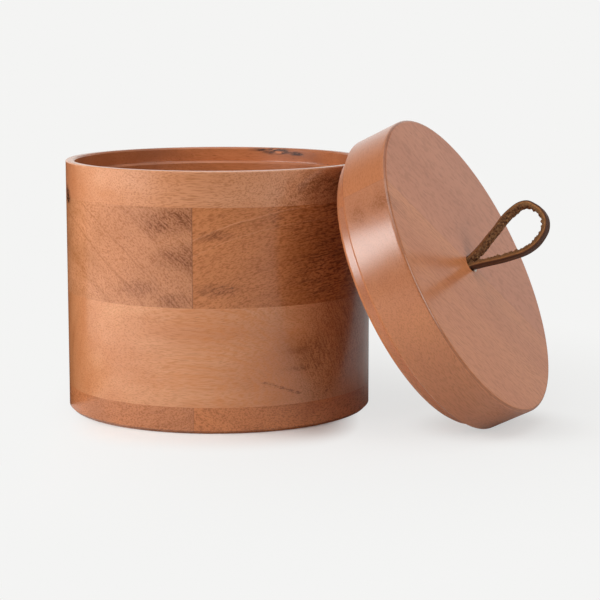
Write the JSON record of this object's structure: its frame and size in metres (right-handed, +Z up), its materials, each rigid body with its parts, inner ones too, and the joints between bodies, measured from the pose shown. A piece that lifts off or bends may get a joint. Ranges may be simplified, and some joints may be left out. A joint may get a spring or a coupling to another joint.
{
  "type": "wooden storage jar",
  "caption": "Low round storage jar turned from cross-laminated hardwood boards, its thick rebated lid leaning on it, with a leather loop pull.",
  "frame": {"origin": "centre of the jar's flat underside, which stands on the table", "axes": "+Z up along the jar's axis, out of its mouth; +X towards the lid that leans on the jar"},
  "size_m": [0.2448, 0.15, 0.1437],
  "materials": {
    "jar_wood": "satin oil-varnished reddish brown hardwood",
    "lid_wood": "satin oil-varnished reddish brown hardwood",
    "lace_leather": "brown leather lace with raw cut edges"
  },
  "bodies": {
    "jar": {"base_board_left": "jar_wood", "base_board_right": "jar_wood", "lower_board_front": "jar_wood", "lower_board_back": "jar_wood", "upper_board_left": "jar_wood", "upper_board_right": "jar_wood", "rim_board_front": "jar_wood", "rim_board_back": "jar_wood"},
    "lid": {"lid_board_upper": "lid_wood", "lid_board_lower": "lid_wood"},
    "knot": {"pull_knot": "lace_leather"},
    "loop": {"pull_loop": "lace_leather"}
  },
  "joints": [
    {"name": "lid_lift", "type": "slide", "parent": "jar", "child": "lid", "axis": [0.8944, 0, 0.4472], "range_m": [0, 0.12]},
    {"name": "pull_turn", "type": "hinge", "parent": "lid", "child": "knot", "pos_m": [0.11049, 0, 0.06663], "axis": [0.8944, 0, 0.4472], "continuous": true},
    {"name": "pull_fold", "type": "hinge", "parent": "knot", "child": "loop", "pos_m": [0.13401, 0, 0.0784], "axis": [0.1493, 0.9426, -0.2986], "range_deg": [-60, 75], "stiffness_Nm_per_rad": 0.02}
  ]
}
